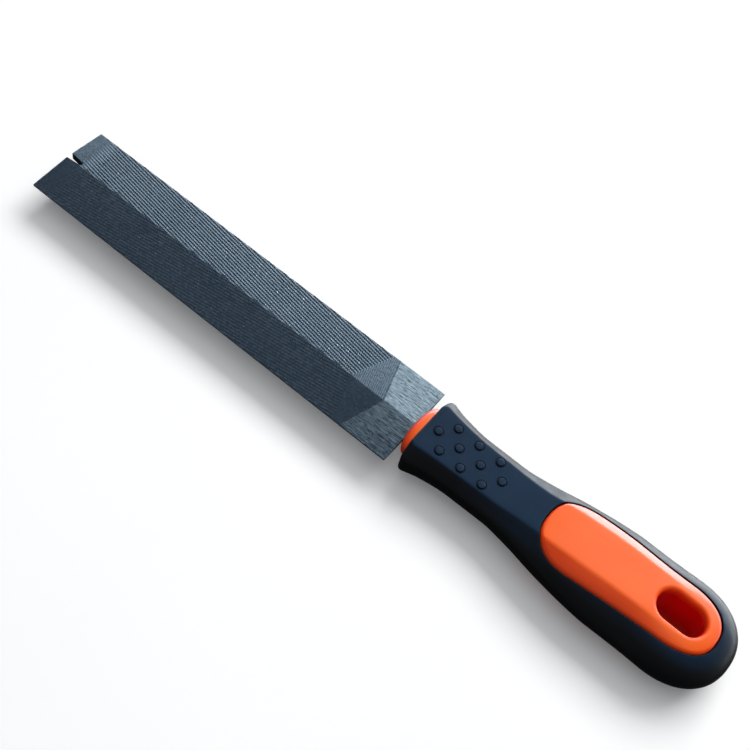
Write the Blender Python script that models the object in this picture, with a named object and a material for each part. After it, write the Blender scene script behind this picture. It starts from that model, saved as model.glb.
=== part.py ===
"""A saw-sharpening file: a steel blade of rhombic section in a handle moulded in two plastics.

Lengths are in metres and +Z is up. The file lies flat: +X runs along it from the blade's tip to the handle's
butt, +Y across it. The origin is below the middle of the whole file, at the height of the handle's underside.
The pieces are drawn in the file's own system, whose zero is on the long axis at the heel, where the blade ends
in two square shoulders, and an empty carries them to their place.
"""

import math

import bmesh
import bpy
from mathutils import Matrix, Vector

# Fit
GAP = 0.0003  # clearance between neighbouring pieces

# Blade
BLADE_LENGTH = 0.1493
BLADE_WIDTH = 0.031
BLADE_THICKNESS = 0.0032  # across the two ridges
EDGE_FLAT = 0.0007  # height of the blunt long edges
TANG_LENGTH = 0.052
TANG_ROOT_WIDTH = 0.0135
TANG_END_WIDTH = 0.005
TANG_ROOT_FILLET = 0.002
NOTCH_DEPTH = 0.0058
NOTCH_MOUTH_WIDTH = 0.0024
NOTCH_END_WIDTH = 0.0014
NOTCH_OFFSET = 0.0009  # the notch lies just beside the ridge

# Handle, along the axis
GRIP_START = 0.0033
NOSE_TIP = -0.0012
BUTT_START = 0.094  # from here the section shrinks towards the butt
BUTT_END = 0.1152
BUTT_POWER = 2.3  # 2 is an ellipse, more is squarer
FRONT_CHAMFER = 0.0008

# Handle sections: position, half width, half thickness, half width of the flat top, height of the side's corner
# as a share of the half thickness, and how much of the shoulder and the side the corner's rounding takes
HANDLE_SECTIONS = (
    (0.0033, 0.0140, 0.0077, 0.0090, 0.43, 0.25),
    (0.0110, 0.0119, 0.0068, 0.0080, 0.43, 0.25),
    (0.0210, 0.0108, 0.0061, 0.0073, 0.43, 0.25),
    (0.0340, 0.0108, 0.0060, 0.0069, 0.43, 0.30),
    (0.0440, 0.0120, 0.0067, 0.0065, 0.42, 0.40),
    (0.0560, 0.0143, 0.0087, 0.0071, 0.40, 0.60),
    (0.0700, 0.0163, 0.0101, 0.0072, 0.40, 0.80),
    (0.0755, 0.0167, 0.0104, 0.0071, 0.40, 0.85),
    (0.0940, 0.0166, 0.0104, 0.0067, 0.40, 0.90),
)
STATION_SPACING = 0.0045
BUTT_STATIONS = 9
CORNER_STEPS = 3

# Core
SIDE_WALL = 0.0025  # rubber thickness at the sides
FACE_WALL = 0.0022  # rubber thickness at the top and bottom
CORE_POWER = 2.3
NOSE_HALF_WIDTH = 0.0110
NOSE_HALF_THICKNESS = 0.0054
NOSE_POWER = 2.5
NOSE_STATIONS = 6
RING_POINTS = 24

# Window where the core shows through the grip, on both faces
WINDOW_START = 0.0487
WINDOW_SHOULDER = 0.063
WINDOW_NECK = 0.093
WINDOW_END = 0.108
WINDOW_HALF_WIDTH = 0.0117
WINDOW_NECK_HALF_WIDTH = 0.0106
WINDOW_POWER = 2.4
WINDOW_STEPS = 9

# Hanging hole: a stadium with rounded lips
HOLE_START = 0.0923
HOLE_STOP = 0.0984
HOLE_RADIUS = 0.0049
LIP_RADIUS = 0.0021
LIP_STEPS = 4
ARC_STEPS = 8

# Raised buttons on the grip
BUTTON_RADIUS = 0.0015
BUTTON_TOP_RADIUS = 0.0012
BUTTON_RISE = 0.0004
BUTTON_ROOT = 0.0012
FIRST_BUTTON = 0.0077
BUTTON_PITCH = 0.0081
BUTTON_ROW_OFFSET = 0.005
BUTTON_SEGMENTS = 12

OVERSHOOT = 0.002  # how far a cutter runs past the solid it cuts
HALF_THICKNESS = max(section[2] for section in HANDLE_SECTIONS)
HEEL_X = (BLADE_LENGTH - BUTT_END) / 2
UP_AXIS_TO_X = Matrix(((0, 0, 1, 0), (1, 0, 0, 0), (0, 1, 0, 0), (0, 0, 0, 1)))


# ---------------------------------------------------------------- scene helpers


def clear_scene():
    for obj in list(bpy.data.objects):
        bpy.data.objects.remove(obj, do_unlink=True)


def new_collection(name):
    made = bpy.data.collections.new(name)
    bpy.context.scene.collection.children.link(made)
    return made


def new_material(name, colour, roughness, metallic):
    made = bpy.data.materials.new(name)
    made.use_nodes = True
    shader = made.node_tree.nodes["Principled BSDF"]
    shader.inputs["Base Color"].default_value = (*colour, 1)
    shader.inputs["Roughness"].default_value = roughness
    shader.inputs["Metallic"].default_value = metallic
    return made


def new_object(name, mesh, collection, parent):
    made = bpy.data.objects.new(name, mesh)
    collection.objects.link(made)
    made.parent = parent
    return made


def hide_as_cutter(obj):
    obj.hide_render = True
    obj.display_type = "WIRE"
    return obj


def combine(target, operation, other):
    modifier = target.modifiers.new(operation.lower(), "BOOLEAN")
    modifier.operation = operation
    modifier.solver = "EXACT"
    modifier.object = other


def finish_piece(obj, material, sharp_angle):
    obj.data.materials.append(material)
    obj.data.shade_smooth()
    obj.data.set_sharp_from_angle(angle=math.radians(sharp_angle))


# ---------------------------------------------------------------- solids


def prism(name, outline, low, high, turn=Matrix()):
    """A flat outline filled and extruded from low to high along the third axis, as a closed mesh."""
    curve = bpy.data.curves.new(name, "CURVE")
    curve.dimensions = "2D"
    curve.fill_mode = "BOTH"
    curve.extrude = (high - low) / 2
    spline = curve.splines.new("POLY")
    spline.points.add(len(outline) - 1)
    for point, (u, v) in zip(spline.points, outline):
        point.co = (u, v, 0, 1)
    spline.use_cyclic_u = True
    guide = bpy.data.objects.new(name + "_outline", curve)
    bpy.context.scene.collection.objects.link(guide)
    graph = bpy.context.evaluated_depsgraph_get()
    mesh = bpy.data.meshes.new_from_object(guide.evaluated_get(graph))
    bpy.data.objects.remove(guide, do_unlink=True)
    bpy.data.curves.remove(curve)
    solid = bmesh.new()
    solid.from_mesh(mesh)
    bmesh.ops.remove_doubles(solid, verts=solid.verts, dist=1e-6)
    bmesh.ops.translate(solid, verts=solid.verts, vec=(0, 0, (low + high) / 2))
    bmesh.ops.transform(solid, matrix=turn, verts=solid.verts)
    bmesh.ops.recalc_face_normals(solid, faces=solid.faces)
    solid.to_mesh(mesh)
    solid.free()
    mesh.name = name
    return mesh


def loft(name, rings):
    """Skins a row of closed rings with equal point counts and caps both ends."""
    solid = bmesh.new()
    loops = [[solid.verts.new(point) for point in ring] for ring in rings]
    for first, second in zip(loops, loops[1:]):
        for i in range(len(first)):
            j = (i + 1) % len(first)
            solid.faces.new((first[i], first[j], second[j], second[i]))
    solid.faces.new(loops[0])
    solid.faces.new(loops[-1])
    bmesh.ops.recalc_face_normals(solid, faces=solid.faces)
    bmesh.ops.triangulate(solid, faces=solid.faces)
    mesh = bpy.data.meshes.new(name)
    solid.to_mesh(mesh)
    solid.free()
    return mesh


# ---------------------------------------------------------------- handle shape


def eased(positions, values, x):
    """Cubic interpolation that never overshoots: it stays level between two equal neighbours."""
    x = min(max(x, positions[0]), positions[-1])
    slopes = [(values[i + 1] - values[i]) / (positions[i + 1] - positions[i]) for i in range(len(values) - 1)]
    tangents = [slopes[0]]
    for before, after in zip(slopes, slopes[1:]):
        tangents.append(2 * before * after / (before + after) if before * after > 0 else 0.0)
    tangents.append(0.0)
    i = min(sum(position <= x for position in positions[1:]), len(slopes) - 1)
    span = positions[i + 1] - positions[i]
    t = (x - positions[i]) / span
    return (
        values[i] * (1 + 2 * t) * (1 - t) ** 2
        + values[i + 1] * t * t * (3 - 2 * t)
        + span * t * (1 - t) * (tangents[i] * (1 - t) - tangents[i + 1] * t)
    )


def rounding(share, power):
    """Radius share left at this share of the way along a superellipse's end."""
    return max(0.0, 1 - share**power) ** (1 / power)


def handle_size(x):
    """Half width, half thickness, half width of the flat, height of the side's corner, and the corner's rounding."""
    positions = [section[0] for section in HANDLE_SECTIONS]
    width, thickness, flat, corner_share, corner_rounding = (
        eased(positions, [section[i] for section in HANDLE_SECTIONS], x) for i in range(1, 6)
    )
    end = rounding(max(0.0, x - BUTT_START) / (BUTT_END - BUTT_START), BUTT_POWER)
    return width * end, thickness * end, flat * end, thickness * corner_share * end, corner_rounding


def handle_ring(x, inset=0.0):
    """Section with flats above and below, sloping shoulders, and sides that meet them in a rounded corner."""
    width, thickness, flat, corner_height, corner_rounding = handle_size(x)
    corner = Vector((width - inset, corner_height))
    flat_edge = Vector((flat, thickness - inset))
    on_side = corner.lerp(Vector((corner.x, 0)), corner_rounding)
    on_shoulder = corner.lerp(flat_edge, corner_rounding)
    quarter = []
    for i in range(CORNER_STEPS + 1):
        t = i / CORNER_STEPS
        quarter.append(on_side.lerp(corner, t).lerp(corner.lerp(on_shoulder, t), t))
    quarter.append(flat_edge)
    upper = [(y, z) for y, z in quarter] + [(-y, z) for y, z in reversed(quarter)]
    lower = [(-y, -z) for y, z in upper]
    return [(x, y, z) for y, z in upper + lower]


def butt_positions(start, end):
    """Stations that crowd towards the end, where the section shrinks fastest."""
    steps = range(1, BUTT_STATIONS + 1)
    return [start + (end - start) * math.sin(math.pi / 2 * step / (BUTT_STATIONS + 0.4)) for step in steps]


def body_positions(start):
    count = round((BUTT_START - start) / STATION_SPACING)
    return [start + (BUTT_START - start) * i / count for i in range(count + 1)]


def handle_solid(name):
    rings = [handle_ring(GRIP_START, FRONT_CHAMFER)]
    rings += [handle_ring(x) for x in body_positions(GRIP_START + FRONT_CHAMFER)]
    rings += [handle_ring(x) for x in butt_positions(BUTT_START, BUTT_END)]
    return loft(name, rings)


def core_ring(x, width, thickness):
    ring = []
    for i in range(RING_POINTS):
        angle = 2 * math.pi * i / RING_POINTS
        y = math.copysign(abs(math.cos(angle)) ** (2 / CORE_POWER), math.cos(angle)) * width
        z = math.copysign(abs(math.sin(angle)) ** (2 / CORE_POWER), math.sin(angle)) * thickness
        ring.append((x, y, z))
    return ring


def core_solid(name, grow):
    """The core's hidden body with its nose, grown on all sides by grow."""
    nose_tip = NOSE_TIP - grow
    rings = []
    for step in range(1, NOSE_STATIONS + 1):
        share = math.cos(math.pi / 2 * (step - 0.6) / NOSE_STATIONS)
        x = GRIP_START - share * (GRIP_START - nose_tip)
        left = rounding(share, NOSE_POWER)
        rings.append(core_ring(x, (NOSE_HALF_WIDTH + grow) * left, (NOSE_HALF_THICKNESS + grow) * left))
    for x in body_positions(GRIP_START + FRONT_CHAMFER) + butt_positions(BUTT_START, BUTT_END - SIDE_WALL):
        stretched = x if x < BUTT_START else BUTT_START + (x - BUTT_START) * (BUTT_END - BUTT_START) / (
            BUTT_END - SIDE_WALL + grow - BUTT_START
        )
        width, thickness = handle_size(stretched)[:2]
        end = rounding(max(0.0, stretched - BUTT_START) / (BUTT_END - BUTT_START), BUTT_POWER)
        rings.append(core_ring(x, width - (SIDE_WALL - grow) * end, thickness - (FACE_WALL - grow) * end))
    return loft(name, rings)


def window_half_width(x):
    if x < WINDOW_SHOULDER:
        return WINDOW_HALF_WIDTH * rounding((WINDOW_SHOULDER - x) / (WINDOW_SHOULDER - WINDOW_START), WINDOW_POWER)
    if x > WINDOW_NECK:
        return WINDOW_NECK_HALF_WIDTH * rounding((x - WINDOW_NECK) / (WINDOW_END - WINDOW_NECK), WINDOW_POWER)
    t = (x - WINDOW_SHOULDER) / (WINDOW_NECK - WINDOW_SHOULDER)
    return WINDOW_HALF_WIDTH + (WINDOW_NECK_HALF_WIDTH - WINDOW_HALF_WIDTH) * t * t * (3 - 2 * t)


def window_outline(grow):
    """Outline of the window in plan, moved outwards by grow along its normal."""
    turns = [math.sin(math.pi / 2 * i / WINDOW_STEPS) for i in range(WINDOW_STEPS)]
    rounded_start = [WINDOW_SHOULDER - (WINDOW_SHOULDER - WINDOW_START) * turn for turn in reversed(turns)]
    rounded_end = [WINDOW_NECK + (WINDOW_END - WINDOW_NECK) * turn for turn in turns]
    middle = [WINDOW_SHOULDER + (WINDOW_NECK - WINDOW_SHOULDER) * share for share in (0.25, 0.5, 0.75)]
    side = [Vector((x, window_half_width(x))) for x in rounded_start + middle + rounded_end]
    side = [Vector((WINDOW_START, 0.0))] + side + [Vector((WINDOW_END, 0.0))]
    moved = []
    for i, point in enumerate(side):
        before = side[i - 1] if i else Vector((side[1].x, -side[1].y))
        after = side[i + 1] if i + 1 < len(side) else Vector((side[-2].x, -side[-2].y))
        along = (after - before).normalized()
        moved.append(point + Vector((-along.y, along.x)) * grow)
    mirrored = [Vector((point.x, -point.y)) for point in reversed(moved[1:-1])]
    return [tuple(point) for point in moved + mirrored]


# ---------------------------------------------------------------- pieces


def blade_section(clearance):
    """Rhombus with its two acute corners cut to narrow flats."""
    half_width = BLADE_WIDTH / 2 + clearance
    half_flat = EDGE_FLAT / 2 + clearance
    ridge = BLADE_THICKNESS / 2 + clearance
    return [
        (half_width, half_flat),
        (0, ridge),
        (-half_width, half_flat),
        (-half_width, -half_flat),
        (0, -ridge),
        (half_width, -half_flat),
    ]


def tang_outline(clearance):
    """Half outline of the tang from the shoulder to its end, with a fillet in the inner corner."""
    root = TANG_ROOT_WIDTH / 2 + clearance
    points = [(clearance, BLADE_WIDTH / 2 + clearance)]
    for i in range(ARC_STEPS // 2 + 1):
        angle = math.pi / 2 * i / (ARC_STEPS // 2)
        x = clearance + TANG_ROOT_FILLET * (1 - math.cos(angle))
        points.append((x, root + TANG_ROOT_FILLET * (1 - math.sin(angle))))
    return points + [(TANG_LENGTH + clearance, TANG_END_WIDTH / 2 + clearance)]


def notch_outline():
    """From the +Y corner of the notch's mouth round its bottom to the -Y corner."""
    tip = -BLADE_LENGTH
    radius = NOTCH_END_WIDTH / 2
    centre = tip + NOTCH_DEPTH - radius
    points = [(tip, NOTCH_OFFSET + NOTCH_MOUTH_WIDTH / 2)]
    for i in range(ARC_STEPS + 1):
        angle = math.pi / 2 - math.pi * i / ARC_STEPS
        points.append((centre + radius * math.cos(angle), NOTCH_OFFSET + radius * math.sin(angle)))
    return points + [(tip, NOTCH_OFFSET - NOTCH_MOUTH_WIDTH / 2)]


def blade_plan(clearance, notch):
    """The blade seen from above, from the tip's -Y corner round the notch to the tang and back."""
    tip = -BLADE_LENGTH - clearance
    half_width = BLADE_WIDTH / 2 + clearance
    half = tang_outline(clearance)
    back = [(x, -y) for x, y in reversed(half)]
    mouth = list(reversed(notch_outline())) if notch else []
    return [(tip, -half_width)] + mouth + [(tip, half_width)] + half + back


def blade_solid(name, clearance, collection, parent):
    """The rhombic bar, trimmed to the blade's outline."""
    bar = prism(name, blade_section(clearance), -BLADE_LENGTH - OVERSHOOT, TANG_LENGTH + OVERSHOOT, UP_AXIS_TO_X)
    return new_object(name, bar, collection, parent)


def make_blade(parts, cutters, parent):
    outline = prism("blade_trim", blade_plan(0, True), -BLADE_THICKNESS, BLADE_THICKNESS)
    trim = hide_as_cutter(new_object("blade_trim", outline, cutters, parent))
    blade = blade_solid("file_blade", 0, parts, parent)
    combine(blade, "INTERSECT", trim)
    finish_piece(blade, new_material("hardened_steel", (0.17, 0.2, 0.23), 0.38, 1.0), 5)
    return blade


def make_socket(cutters, parent):
    """The blade with clearance all round: the room that the core leaves for it."""
    outline = prism("socket_trim", blade_plan(GAP, False), -BLADE_THICKNESS, BLADE_THICKNESS)
    trim = hide_as_cutter(new_object("socket_trim", outline, cutters, parent))
    socket = hide_as_cutter(blade_solid("tang_socket", GAP, cutters, parent))
    combine(socket, "INTERSECT", trim)
    return socket


def stadium(radius, z):
    """Ring with straight sides along X and round ends."""
    ring = []
    for centre, start in ((HOLE_STOP, -math.pi / 2), (HOLE_START, math.pi / 2)):
        for i in range(ARC_STEPS + 1):
            angle = start + math.pi * i / ARC_STEPS
            ring.append((centre + radius * math.cos(angle), radius * math.sin(angle), z))
    return ring


def make_hole(cutters, parent):
    """Straight hole that flares through a quarter circle into each face."""
    lip = []
    for i in range(LIP_STEPS + 1):
        angle = math.pi / 2 * i / LIP_STEPS
        radius = HOLE_RADIUS + LIP_RADIUS * (1 - math.cos(angle))
        lip.append((radius, HALF_THICKNESS - LIP_RADIUS * (1 - math.sin(angle))))
    lip.append((lip[-1][0] + OVERSHOOT, HALF_THICKNESS + OVERSHOOT))
    rings = [stadium(radius, -z) for radius, z in reversed(lip)] + [stadium(radius, z) for radius, z in lip]
    return hide_as_cutter(new_object("hanging_hole", loft("hanging_hole", rings), cutters, parent))


def make_core(cutters, parts, parent):
    windows = prism("windows", window_outline(0), -HALF_THICKNESS - OVERSHOOT, HALF_THICKNESS + OVERSHOOT)
    windows = hide_as_cutter(new_object("windows", windows, cutters, parent))
    envelope = hide_as_cutter(new_object("envelope", handle_solid("envelope"), cutters, parent))
    combine(windows, "INTERSECT", envelope)
    core = new_object("handle_core", core_solid("handle_core", 0), parts, parent)
    combine(core, "UNION", windows)
    combine(core, "DIFFERENCE", make_socket(cutters, parent))
    combine(core, "DIFFERENCE", make_hole(cutters, parent))
    finish_piece(core, new_material("orange_plastic", (0.95, 0.17, 0.03), 0.35, 0.0), 35)
    return core


def button_places():
    """Three rows in a staggered lattice: four on the centre line, three in the rows beside it."""
    places = [(FIRST_BUTTON + BUTTON_PITCH * i, 0.0) for i in range(4)]
    for row, offsets in ((1, (0.5, 1.5, 2.5)), (-1, (0.5, 1.5, 2.5))):
        places += [(FIRST_BUTTON + BUTTON_PITCH * i, row * BUTTON_ROW_OFFSET) for i in offsets]
    return places


def make_buttons(cutters, parent):
    solid = bmesh.new()
    for x, y in button_places():
        face = handle_size(x)[1]
        for side in (1, -1):
            middle = side * (face + (BUTTON_RISE - BUTTON_ROOT) / 2)
            turn = Matrix.Rotation(0 if side > 0 else math.pi, 4, "X")
            bmesh.ops.create_cone(
                solid,
                cap_ends=True,
                segments=BUTTON_SEGMENTS,
                radius1=BUTTON_RADIUS,
                radius2=BUTTON_TOP_RADIUS,
                depth=BUTTON_RISE + BUTTON_ROOT,
                matrix=Matrix.Translation((x, y, middle)) @ turn,
            )
    mesh = bpy.data.meshes.new("buttons")
    solid.to_mesh(mesh)
    solid.free()
    return hide_as_cutter(new_object("buttons", mesh, cutters, parent))


def make_grip(cutters, parts, parent):
    cavity = hide_as_cutter(new_object("cavity", core_solid("cavity", GAP), cutters, parent))
    opening = prism("window_room", window_outline(GAP), -HALF_THICKNESS - OVERSHOOT, HALF_THICKNESS + OVERSHOOT)
    opening = hide_as_cutter(new_object("window_room", opening, cutters, parent))
    grip = new_object("grip_overmould", handle_solid("grip_overmould"), parts, parent)
    combine(grip, "UNION", make_buttons(cutters, parent))
    combine(grip, "DIFFERENCE", cavity)
    combine(grip, "DIFFERENCE", opening)
    finish_piece(grip, new_material("black_rubber", (0.012, 0.015, 0.02), 0.55, 0.0), 25)
    return grip


def main():
    clear_scene()
    parts = new_collection("saw_file")
    cutters = new_collection("cutters")
    heel = bpy.data.objects.new("heel", None)
    parts.objects.link(heel)
    heel.location = (HEEL_X, 0, HALF_THICKNESS)
    make_blade(parts, cutters, heel)
    make_core(cutters, parts, heel)
    make_grip(cutters, parts, heel)


main()
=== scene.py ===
"""Looks of the saw-sharpening file: cut and ground steel, two-colour handle, pale studio floor.

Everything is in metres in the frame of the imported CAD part. The pieces are drawn in the file's own
system, whose zero is on the long axis at the heel of the blade, and are moved into the frame as a last
step. Along the blade x is negative, along the handle it is positive.
"""

import math

import bmesh
import bpy
import numpy as np
from mathutils import Euler, Matrix, Vector


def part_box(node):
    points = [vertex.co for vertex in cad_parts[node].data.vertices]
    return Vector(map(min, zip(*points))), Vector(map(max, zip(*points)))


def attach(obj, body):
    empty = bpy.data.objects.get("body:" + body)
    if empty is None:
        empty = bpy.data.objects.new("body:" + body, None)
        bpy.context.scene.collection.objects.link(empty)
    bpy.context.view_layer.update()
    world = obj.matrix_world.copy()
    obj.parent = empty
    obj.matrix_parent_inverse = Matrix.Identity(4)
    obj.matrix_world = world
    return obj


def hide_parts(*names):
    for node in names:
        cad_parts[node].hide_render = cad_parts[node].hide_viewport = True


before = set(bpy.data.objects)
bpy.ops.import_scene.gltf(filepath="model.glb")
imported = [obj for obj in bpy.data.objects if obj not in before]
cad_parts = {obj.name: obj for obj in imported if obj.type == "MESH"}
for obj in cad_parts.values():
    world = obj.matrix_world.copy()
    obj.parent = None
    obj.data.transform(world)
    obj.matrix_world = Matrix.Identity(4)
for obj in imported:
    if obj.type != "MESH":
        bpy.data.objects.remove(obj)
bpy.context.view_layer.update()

# The blade's section is a flat rhombus with a ridge in the middle and thin, blunt edges
BLADE_LENGTH = 0.1493
HALF_WIDTH = 0.0155
HALF_RIDGE = 0.0016
HALF_EDGE = 0.00035

# Where the heel and the long axis lie in the frame
BLADE_LOW, BLADE_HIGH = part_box("file_blade")
HEEL = Vector((
    BLADE_LOW.x + BLADE_LENGTH,
    (BLADE_LOW.y + BLADE_HIGH.y) / 2,
    (BLADE_LOW.z + BLADE_HIGH.z) / 2,
))

SEED = 11
WHITE = (1, 1, 1)
BLACK = (0, 0, 0)


# ---------------------------------------------------------------- node helpers


def new_material(name):
    made = bpy.data.materials.new(name)
    made.use_nodes = True
    made.node_tree.nodes.clear()
    return made


class Graph:
    """Short spelling for building the node tree of a material or a world."""

    def __init__(self, owner):
        self.tree = owner.node_tree

    def add(self, kind, **values):
        node = self.tree.nodes.new(kind)
        for key, value in values.items():
            setattr(node, key, value)
        return node

    def link(self, source, target):
        self.tree.links.new(source, target)

    def feed(self, socket, value):
        if isinstance(value, bpy.types.NodeSocket):
            self.link(value, socket)
        else:
            socket.default_value = value

    def coordinates(self, scale=(1, 1, 1)):
        """Object coordinates, multiplied by scale along each axis."""
        source = self.add("ShaderNodeTexCoord")
        mapping = self.add("ShaderNodeMapping")
        self.link(source.outputs["Object"], mapping.inputs["Vector"])
        mapping.inputs["Scale"].default_value = scale
        return mapping.outputs["Vector"]

    def noise(self, vector, scale, detail=2.0, roughness=0.5):
        node = self.add("ShaderNodeTexNoise")
        self.link(vector, node.inputs["Vector"])
        node.inputs["Scale"].default_value = scale
        node.inputs["Detail"].default_value = detail
        node.inputs["Roughness"].default_value = roughness
        return node.outputs["Fac"]

    def spots(self, vector, scale):
        """Distance to the nearest of many scattered points."""
        node = self.add("ShaderNodeTexVoronoi")
        self.link(vector, node.inputs["Vector"])
        node.inputs["Scale"].default_value = scale
        return node.outputs["Distance"]

    def ramp(self, value, stops):
        """Colour by value; a stop is a position and a colour."""
        node = self.add("ShaderNodeValToRGB")
        self.link(value, node.inputs["Fac"])
        elements = node.color_ramp.elements
        while len(elements) < len(stops):
            elements.new(0.5)
        for element, (position, colour) in zip(elements, stops):
            element.position = position
            element.color = (*colour, 1)
        return node.outputs["Color"]

    def spread(self, value, low_in, high_in, low_out, high_out):
        """Maps the range low_in to high_in onto low_out to high_out, and holds the ends."""
        node = self.add("ShaderNodeMapRange")
        self.link(value, node.inputs["Value"])
        limits = {"From Min": low_in, "From Max": high_in, "To Min": low_out, "To Max": high_out}
        for name, number in limits.items():
            node.inputs[name].default_value = number
        return node.outputs["Result"]

    def math(self, operation, a, b):
        node = self.add("ShaderNodeMath", operation=operation)
        self.feed(node.inputs[0], a)
        self.feed(node.inputs[1], b)
        return node.outputs[0]

    def mix(self, share, a, b, blend="MIX"):
        node = self.add("ShaderNodeMix", data_type="RGBA", blend_type=blend)
        self.feed(node.inputs["Factor"], share)
        self.feed(node.inputs[6], a)
        self.feed(node.inputs[7], b)
        return node.outputs[2]

    def bump(self, height, strength, distance):
        node = self.add("ShaderNodeBump")
        self.link(height, node.inputs["Height"])
        node.inputs["Strength"].default_value = strength
        node.inputs["Distance"].default_value = distance
        return node.outputs["Normal"]

    def attribute(self, name):
        return self.add("ShaderNodeAttribute", attribute_name=name).outputs["Fac"]

    def level(self, steep, flat):
        """0 where the surface is steep, 1 where it lies flat; both limits are heights of the normal."""
        normal = self.add("ShaderNodeSeparateXYZ")
        self.link(self.add("ShaderNodeTexCoord").outputs["Normal"], normal.inputs[0])
        upward = self.math("ABSOLUTE", normal.outputs["Z"], 0.0)
        return self.spread(upward, steep, flat, 0.0, 1.0)

    def finish(self, **sockets):
        """Ends the tree in a Principled shader; an underscore stands for a space in a socket's name."""
        shader = self.add("ShaderNodeBsdfPrincipled")
        for key, value in sockets.items():
            self.feed(shader.inputs[key.replace("_", " ")], value)
        output = self.add("ShaderNodeOutputMaterial")
        self.link(shader.outputs["BSDF"], output.inputs["Surface"])


# ---------------------------------------------------------------- materials


def cut_steel():
    """Hardened steel with chiselled teeth: grooves darkened as painted shade, pale points that are partly
    polished wear and partly painted highlight, and uneven patches.
    """
    material = new_material("cut_steel")
    g = Graph(material)
    where = g.coordinates()
    groove = (0.085, 0.105, 0.122)
    flank = (0.150, 0.182, 0.208)
    point = (0.295, 0.352, 0.395)
    # Painted shade and highlight: the tone falls with depth into the cuts, darkest in the grooves, palest
    # on the points
    colour = g.ramp(g.attribute("crest"), [(0.0, groove), (0.45, flank), (1.0, point)])
    patch = (0.55, 0.6, 0.68)
    patches = g.ramp(g.noise(where, 70, 3), [(0.3, patch), (0.7, WHITE)])
    colour = g.mix(0.35, colour, patches, "MULTIPLY")
    roughness = g.spread(g.noise(where, 900, 2), 0.3, 0.7, 0.22, 0.32)
    grain = g.bump(g.noise(where, 6000, 2), 0.25, 0.00002)
    g.finish(Base_Color=colour, Metallic=1.0, Roughness=roughness, Normal=grain)
    return material


def ground_steel():
    """Bare heel ground lengthwise: short broken scratches, a faint blue cast and a few pits."""
    material = new_material("ground_steel")
    g = Graph(material)
    thin_scratches = g.coordinates((600, 5600, 5600))
    broad_scratches = g.coordinates((240, 3000, 3000))
    pit_places = g.coordinates((420, 900, 900))
    fine = g.noise(thin_scratches, 1, 2)
    streaks = g.mix(0.5, fine, g.noise(broad_scratches, 1, 3, 0.6))
    scratch = (0.09, 0.115, 0.13)
    ground = (0.32, 0.385, 0.415)
    bright = (0.64, 0.73, 0.765)
    colour = g.ramp(streaks, [(0.36, scratch), (0.48, ground), (0.60, bright)])
    pit = (0.10, 0.11, 0.12)
    pits = g.ramp(g.spots(pit_places, 1), [(0.08, pit), (0.2, WHITE)])
    pitted = g.mix(1.0, colour, pits, "MULTIPLY")
    sparse = g.ramp(g.noise(g.coordinates(), 240, 1), [(0.5, BLACK), (0.6, WHITE)])
    colour = g.mix(sparse, colour, pitted)
    roughness = g.spread(fine, 0.3, 0.7, 0.26, 0.44)
    normal = g.bump(streaks, 0.6, 0.00008)
    g.finish(Base_Color=colour, Metallic=1.0, Roughness=roughness, Normal=normal, Anisotropic=0.4)
    return material


def edge_steel():
    """Blackened steel of the blade's ends, long edges, notch and tang."""
    material = new_material("edge_steel")
    g = Graph(material)
    tone = g.noise(g.coordinates(), 800, 4, 0.6)
    colour = g.ramp(tone, [(0.3, (0.006, 0.007, 0.009)), (0.7, (0.022, 0.025, 0.029))])
    roughness = g.spread(tone, 0.3, 0.7, 0.4, 0.6)
    g.finish(Base_Color=colour, Metallic=0.4, Roughness=roughness, Normal=g.bump(tone, 0.3, 0.00004))
    return material


def orange_plastic():
    """Hard moulding with faint flow marks; steep faces are painted redder as painted shade, and the hole's
    wall deep red and dull as painted shade of the deep hole.
    """
    material = new_material("orange_plastic")
    g = Graph(material)
    flow = g.noise(g.coordinates((60, 160, 160)), 1, 3)
    depth = g.attribute("depth")
    # Painted shade: steep faces get a redder, darker copy of the orange, flat faces the paler one
    shaded_side_colour = g.ramp(flow, [(0.25, (0.90, 0.062, 0.003)), (0.75, (0.94, 0.072, 0.004))])
    lit_flat_colour = g.ramp(flow, [(0.25, (0.94, 0.114, 0.004)), (0.75, (0.98, 0.130, 0.006))])
    colour = g.mix(g.level(0.80, 0.98), shaded_side_colour, lit_flat_colour)
    # Painted shade of the deep hole: its wall turns deep red with depth, and its reflections are turned
    # down
    painted_hole_shade = (0.72, 0.002, 0.002, 1)
    colour = g.mix(depth, colour, painted_hole_shade)
    roughness = g.spread(flow, 0.3, 0.7, 0.33, 0.40)
    gloss = g.spread(depth, 0.0, 1.0, 0.5, 0.04)
    g.finish(Base_Color=colour, Roughness=roughness, IOR=1.5, Specular_IOR_Level=gloss)
    return material


def black_rubber():
    """Soft overmould, black where steep and navy where flat, the navy being a painted reflection, with a
    fine grain and specks of dust.
    """
    material = new_material("black_rubber")
    g = Graph(material)
    where = g.coordinates()
    tone = g.noise(where, 90, 3)
    # Painted reflection: flat faces get a navy copy of the black rubber, steep faces keep the black
    shaded_side_colour = g.ramp(tone, [(0.3, (0.0090, 0.0096, 0.0102)), (0.7, (0.0106, 0.0112, 0.0120))])
    lit_flat_colour = g.ramp(tone, [(0.3, (0.0078, 0.0222, 0.0475)), (0.7, (0.0092, 0.0250, 0.0535))])
    colour = g.mix(g.level(0.70, 0.99), shaded_side_colour, lit_flat_colour)
    dust = (0.16, 0.18, 0.2, 1)
    specks = g.ramp(g.spots(where, 300), [(0.035, (0.25, 0.27, 0.3)), (0.07, BLACK)])
    rare = g.ramp(g.noise(where, 120, 1), [(0.62, BLACK), (0.68, WHITE)])
    colour = g.mix(g.math("MULTIPLY", specks, rare), colour, dust)
    roughness = g.spread(g.noise(where, 350, 3), 0.3, 0.7, 0.36, 0.46)
    grain = g.bump(g.noise(where, 4200, 3, 0.6), 0.22, 0.00005)
    g.finish(Base_Color=colour, Roughness=roughness, Normal=grain, IOR=1.4, Specular_IOR_Level=0.15)
    return material


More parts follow.
